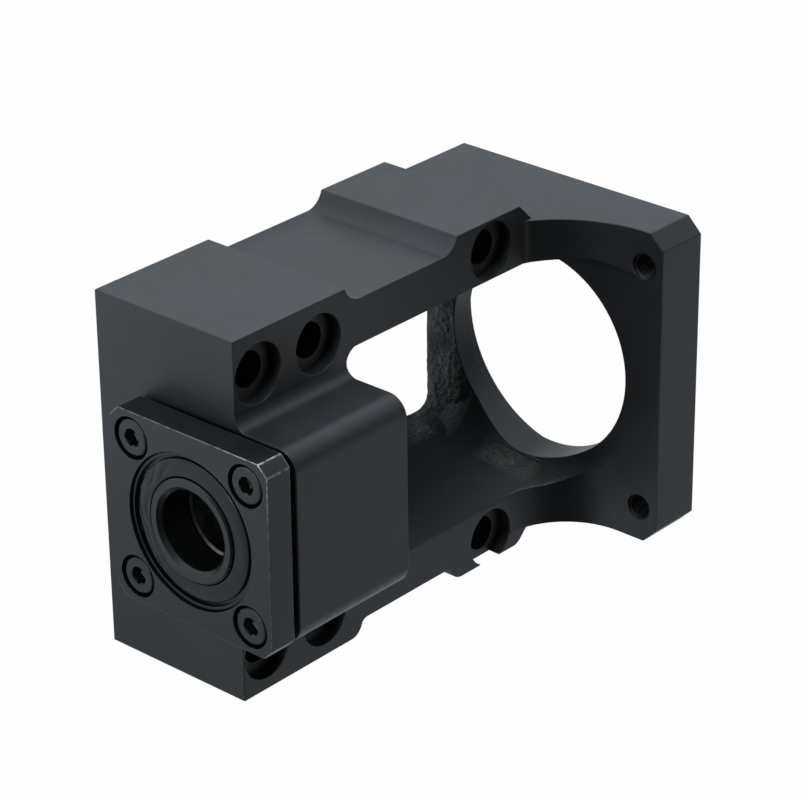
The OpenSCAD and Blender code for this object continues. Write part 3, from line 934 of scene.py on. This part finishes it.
def add_lamp(name, place, size, power):
    """Soft round lamp at a place in millimetres."""
    data = bpy.data.lights.new(name, "AREA")
    data.shape, data.size, data.energy = "DISK", size * MM, power
    lamp = bpy.data.objects.new(name, data)
    lamp.location = Vector(place) * MM
    aimed = (Vector(LAMP_AIM) - Vector(place)).to_track_quat("-Z", "Y")
    lamp.rotation_euler = aimed.to_euler()
    bpy.context.scene.collection.objects.link(lamp)


class END_SUPPORT_OT_stage(bpy.types.Operator):
    """Makes the pale floor, the soft light and the camera"""
    bl_idname = "end_support.stage"
    bl_label = "Stage"

    def execute(self, context):
        self.make_floor(context.scene.end_support_colours)
        self.make_world()
        for name, lamp in LAMPS.items():
            add_lamp(name, *lamp)
        self.make_camera()
        context.scene.view_settings.view_transform = "Standard"
        return {"FINISHED"}

    def make_floor(self, c):
        """Floor that is white to the eye, plain for soft light, and a glow for reflections."""
        mesh, half = bpy.data.meshes.new("floor"), FLOOR_HALF
        mesh.from_pydata([(-half, -half, 0), (half, -half, 0), (half, half, 0),
                          (-half, half, 0)], [], [(0, 1, 2, 3)])
        floor = bpy.data.objects.new("floor", mesh)
        floor.location.z = HOUSING_LOW.z - FLOOR_GAP
        bpy.context.scene.collection.objects.link(floor)
        material, t = new_material("floor")
        path = t.node("ShaderNodeLightPath")
        seen = path.larger(t.outputs(path, "Is Transmission Ray")) * FLOOR_SEEN
        glossy = t.outputs(path, "Is Glossy Ray") * self.glow_level(t)
        diffuse = t.node("ShaderNodeBsdfDiffuse", None, {"Color": rgba(c.floor_colour)})
        glow = t.node("ShaderNodeEmission", None, {"Color": rgba(GLOW_TINT)})
        white = t.node("ShaderNodeEmission", None, {"Color": WHITE})
        shade = t.node("ShaderNodeMixShader", None, [glossy, diffuse, glow])
        shade = t.node("ShaderNodeMixShader", None, [seen, shade, white])
        t.node("ShaderNodeOutputMaterial", None, [shade])
        mesh.materials.append(material)

    def glow_level(self, t):
        """Level of the floor's glow, which fades toward -Y. It is dim under the bracket, save
        close to the flange, weaker before the block, and strong or dark behind the flange."""
        x, y, _ = t.parts(t.node("ShaderNodeTexCoord", output="Object"))
        beside = (x - HOUSING_HIGH.x).larger(HOUSING_LOW.x - x)
        beside = beside.larger(y - HOUSING_HIGH.y).larger(HOUSING_LOW.y - y)
        away = beside.ramp(*GLOW_AWAY)
        level = y.ramp(*GLOW_ASIDE) * (away + (1.0 - away) * x.ramp(*GLOW_UNDER))
        behind = (x - HOUSING_HIGH.x).ramp(*GLOW_BEHIND)
        dark = behind * y.ramp(*GLOW_DARK[0]) * y.ramp(*GLOW_DARK[1])
        level = level * (1.0 - dark) + behind * y.ramp(*GLOW_STRONG)
        return level * (1.0 - x.ramp(*GLOW_BEFORE[0]) * x.ramp(*GLOW_BEFORE[1]))

    def make_world(self):
        """Surroundings: white to the eye, faint for soft light, brighter toward the horizon
        ahead for reflections."""
        world = bpy.data.worlds.new("studio")
        world.use_nodes = True
        world.node_tree.nodes.clear()
        t = Tree(world.node_tree)
        path = t.node("ShaderNodeLightPath")
        seen = path.larger(t.outputs(path, "Is Transmission Ray"))
        ahead, _, up = t.parts(t.node("ShaderNodeTexCoord", output="Generated"))
        gloss = up.ramp(*GLOSS_HEIGHT, *WORLD_GLOSS) * ahead.ramp(*GLOSS_AHEAD)
        backs = [t.node("ShaderNodeBackground", None, {"Color": colour, "Strength": level})
                 for colour, level in ((rgba(GLOW_TINT), WORLD_LEVEL),
                                       (rgba(GLOW_TINT), gloss), (WHITE, 1.0))]
        back = t.node("ShaderNodeMixShader", None,
                      [t.outputs(path, "Is Glossy Ray"), backs[0], backs[1]])
        back = t.node("ShaderNodeMixShader", None, [seen, back, backs[2]])
        t.node("ShaderNodeOutputWorld", None, [back])
        bpy.context.scene.world = world

    def make_camera(self):
        """Camera whose axes point right, down and ahead."""
        data = bpy.data.cameras.new("camera")
        data.sensor_fit, data.sensor_width = "HORIZONTAL", CAMERA_SENSOR
        data.lens = CAMERA_LENS
        data.clip_start, data.clip_end = 0.01, 20.0
        camera = bpy.data.objects.new("camera", data)
        right, down, ahead = CAMERA_AXES
        turn = Matrix((right, [-d for d in down], [-a for a in ahead])).transposed()
        camera.matrix_world = Matrix.Translation(Vector(CAMERA_PLACE) * MM) @ turn.to_4x4()
        bpy.context.scene.collection.objects.link(camera)
        bpy.context.scene.camera = camera


# ---------------------------------------------------------------- panel and steps

class END_SUPPORT_PT_panel(bpy.types.Panel):
    """Lists the sizes, the colours and the steps"""
    bl_idname = "END_SUPPORT_PT_panel"
    bl_label = "End Support"
    bl_space_type = "VIEW_3D"
    bl_region_type = "UI"
    bl_category = "End Support"

    def draw(self, context):
        layout = self.layout
        for group in (context.scene.end_support_sizes, context.scene.end_support_colours):
            for name in group.__annotations__:
                layout.prop(group, name)
        for step in STEPS:
            layout.operator(step.bl_idname)


STEPS = (END_SUPPORT_OT_stage, END_SUPPORT_OT_housing, END_SUPPORT_OT_threads,
         END_SUPPORT_OT_cover, END_SUPPORT_OT_screws, END_SUPPORT_OT_seals,
         END_SUPPORT_OT_bearings)
CLASSES = (END_SUPPORT_sizes, END_SUPPORT_colours, *STEPS, END_SUPPORT_PT_panel)


def register():
    for cls in CLASSES:
        bpy.utils.register_class(cls)
    bpy.types.Scene.end_support_sizes = PointerProperty(type=END_SUPPORT_sizes)
    bpy.types.Scene.end_support_colours = PointerProperty(type=END_SUPPORT_colours)


def unregister():
    del bpy.types.Scene.end_support_colours
    del bpy.types.Scene.end_support_sizes
    for cls in reversed(CLASSES):
        bpy.utils.unregister_class(cls)


def main():
    register()
    for step in STEPS:
        group, name = step.bl_idname.split(".")
        getattr(getattr(bpy.ops, group), name)()


if __name__ == "__main__":
    main()
